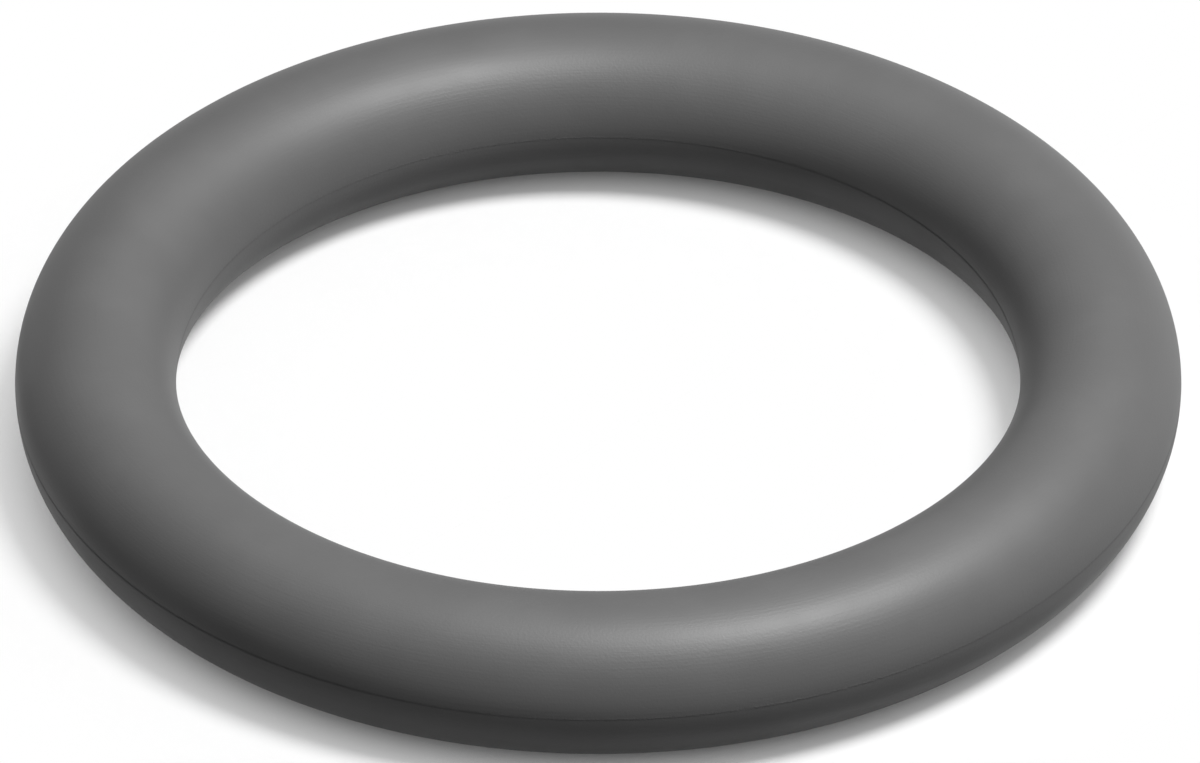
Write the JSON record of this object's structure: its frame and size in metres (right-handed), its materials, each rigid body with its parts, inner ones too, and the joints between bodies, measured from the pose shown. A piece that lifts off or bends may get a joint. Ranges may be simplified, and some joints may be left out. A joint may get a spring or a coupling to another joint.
{
  "type": "rubber o-ring",
  "caption": "Black rubber sealing ring of round section, moulded in one piece, with an open middle for a shaft, tube or plug.",
  "frame": {"origin": "the ring's centre, on its axis and halfway up its section", "axes": "+Z along the ring's axis; the ring is round, so +X and +Y are any two square directions in its plane"},
  "size_m": [0.0386, 0.0386, 0.0054],
  "materials": {
    "rubber": "satin"
  },
  "bodies": {
    "root": {"o_ring": "rubber"}
  },
  "joints": []
}
